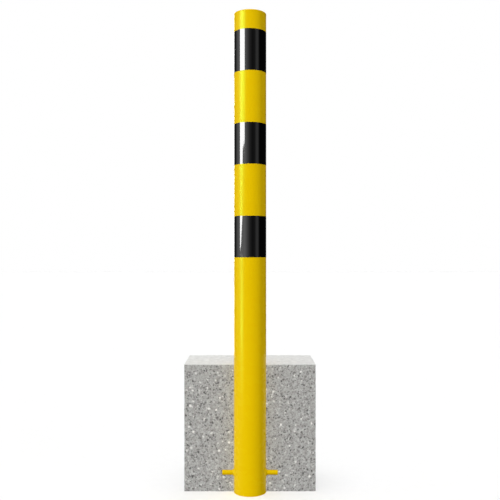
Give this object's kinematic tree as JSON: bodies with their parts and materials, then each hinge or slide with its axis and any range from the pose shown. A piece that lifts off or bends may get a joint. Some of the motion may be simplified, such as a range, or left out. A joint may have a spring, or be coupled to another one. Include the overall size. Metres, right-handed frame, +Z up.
{
  "type": "safety bollard",
  "caption": "Round steel post with a shallow crowned cap, contrasting film bands and a crossed anchor rod at its foot, cast into a concrete footing shown in section.",
  "frame": {"origin": "on the post's axis at finished ground level", "axes": "+Z up along the post; the anchor rod runs along X; the footing's cut face looks towards -Y and its concrete lies on the +Y side"},
  "size_m": [0.414, 0.2511, 1.5],
  "materials": {
    "yellow_paint": "glossy yellow powder coat over steel",
    "black_film": "high-gloss black adhesive film",
    "concrete": "cast concrete, fine aggregate exposed on the cut face, float finish on top"
  },
  "bodies": {
    "root": {"post_tube": "yellow_paint", "top_cap": "yellow_paint", "cap_weld": "yellow_paint", "anchor_rod": "yellow_paint", "anchor_weld_left": "yellow_paint", "anchor_weld_right": "yellow_paint", "black_band_upper": "black_film", "black_band_middle": "black_film", "black_band_lower": "black_film", "concrete_footing": "concrete"}
  },
  "joints": []
}
